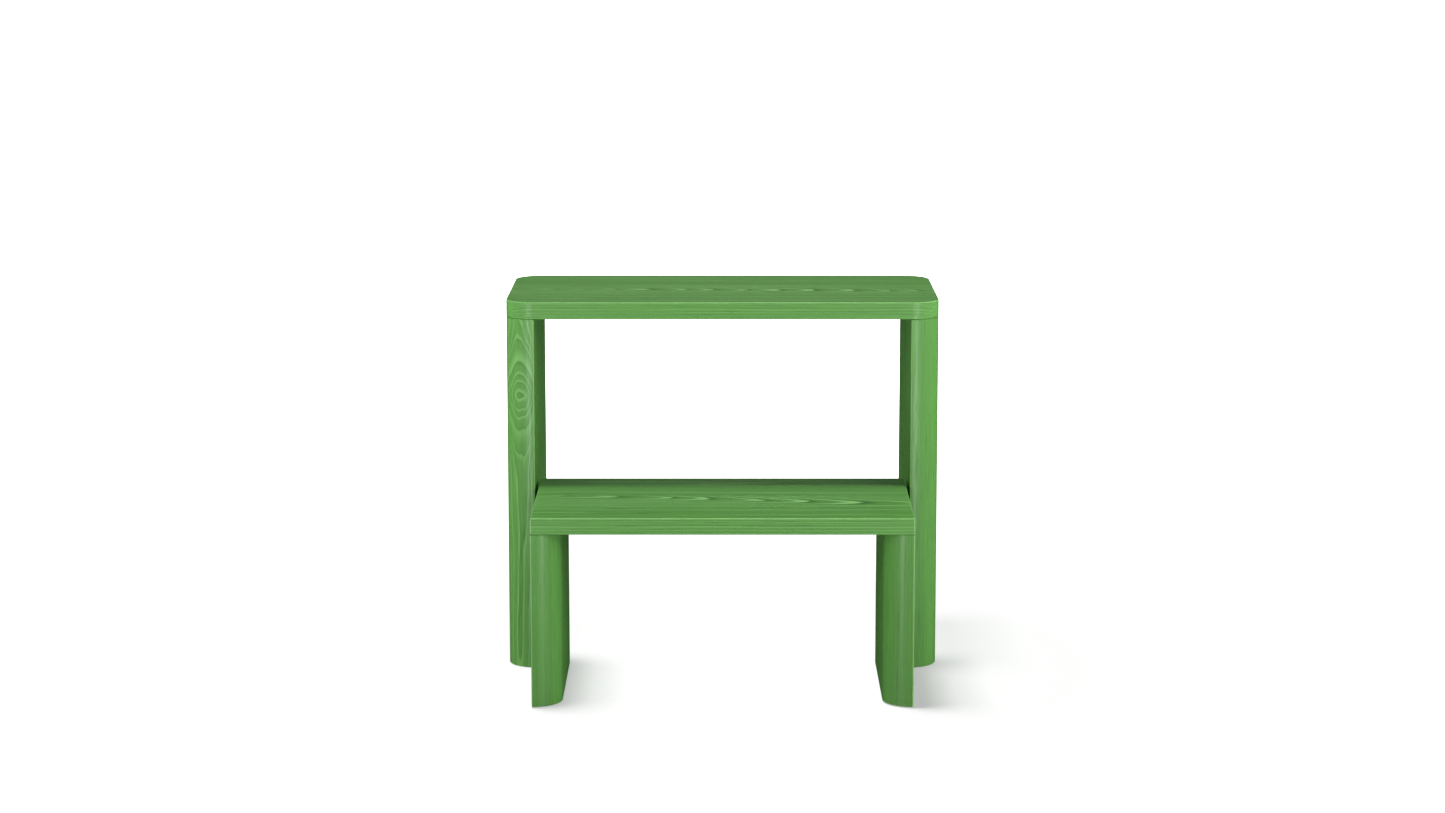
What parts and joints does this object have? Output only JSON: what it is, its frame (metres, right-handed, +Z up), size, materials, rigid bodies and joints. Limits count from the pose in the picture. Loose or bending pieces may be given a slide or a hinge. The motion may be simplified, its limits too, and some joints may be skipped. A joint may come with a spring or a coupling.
{
  "type": "step stool",
  "caption": "Nesting step stool in stained solid wood: a low step on panel legs slides forward from under a taller step with a rounded top board.",
  "frame": {"origin": "middle of the footprint on the floor, with the lower step pulled out", "axes": "+Z up; -Y is the front, the way the lower step is pulled out; +X to the right seen from the front"},
  "size_m": [0.48, 0.408, 0.414],
  "materials": {
    "stained_ash": "satin green stain and lacquer on open-grain ash",
    "beech_dowel": "raw fluted beech",
    "nylon": "matte white nylon",
    "acetal": "matte black acetal",
    "zinc_steel": "zinc-plated steel"
  },
  "bodies": {
    "upper_step": {"top_board": "stained_ash", "upper_leg_left": "stained_ash", "upper_dowels_left": "beech_dowel", "upper_glides_left": "nylon", "upper_glide_nails_left": "zinc_steel", "upper_leg_right": "stained_ash", "upper_dowels_right": "beech_dowel", "upper_glides_right": "nylon", "upper_glide_nails_right": "zinc_steel"},
    "lower_step": {"tread_board": "stained_ash", "lower_leg_left": "stained_ash", "lower_dowels_left": "beech_dowel", "lower_glides_left": "nylon", "lower_glide_nails_left": "zinc_steel", "runner_left": "acetal", "runner_screws_left": "zinc_steel", "lower_leg_right": "stained_ash", "lower_dowels_right": "beech_dowel", "lower_glides_right": "nylon", "lower_glide_nails_right": "zinc_steel", "runner_right": "acetal", "runner_screws_right": "zinc_steel"}
  },
  "joints": [
    {"name": "step_slide", "type": "slide", "parent": "upper_step", "child": "lower_step", "axis": [0, 1, 0], "range_m": [0, 0.172]}
  ]
}
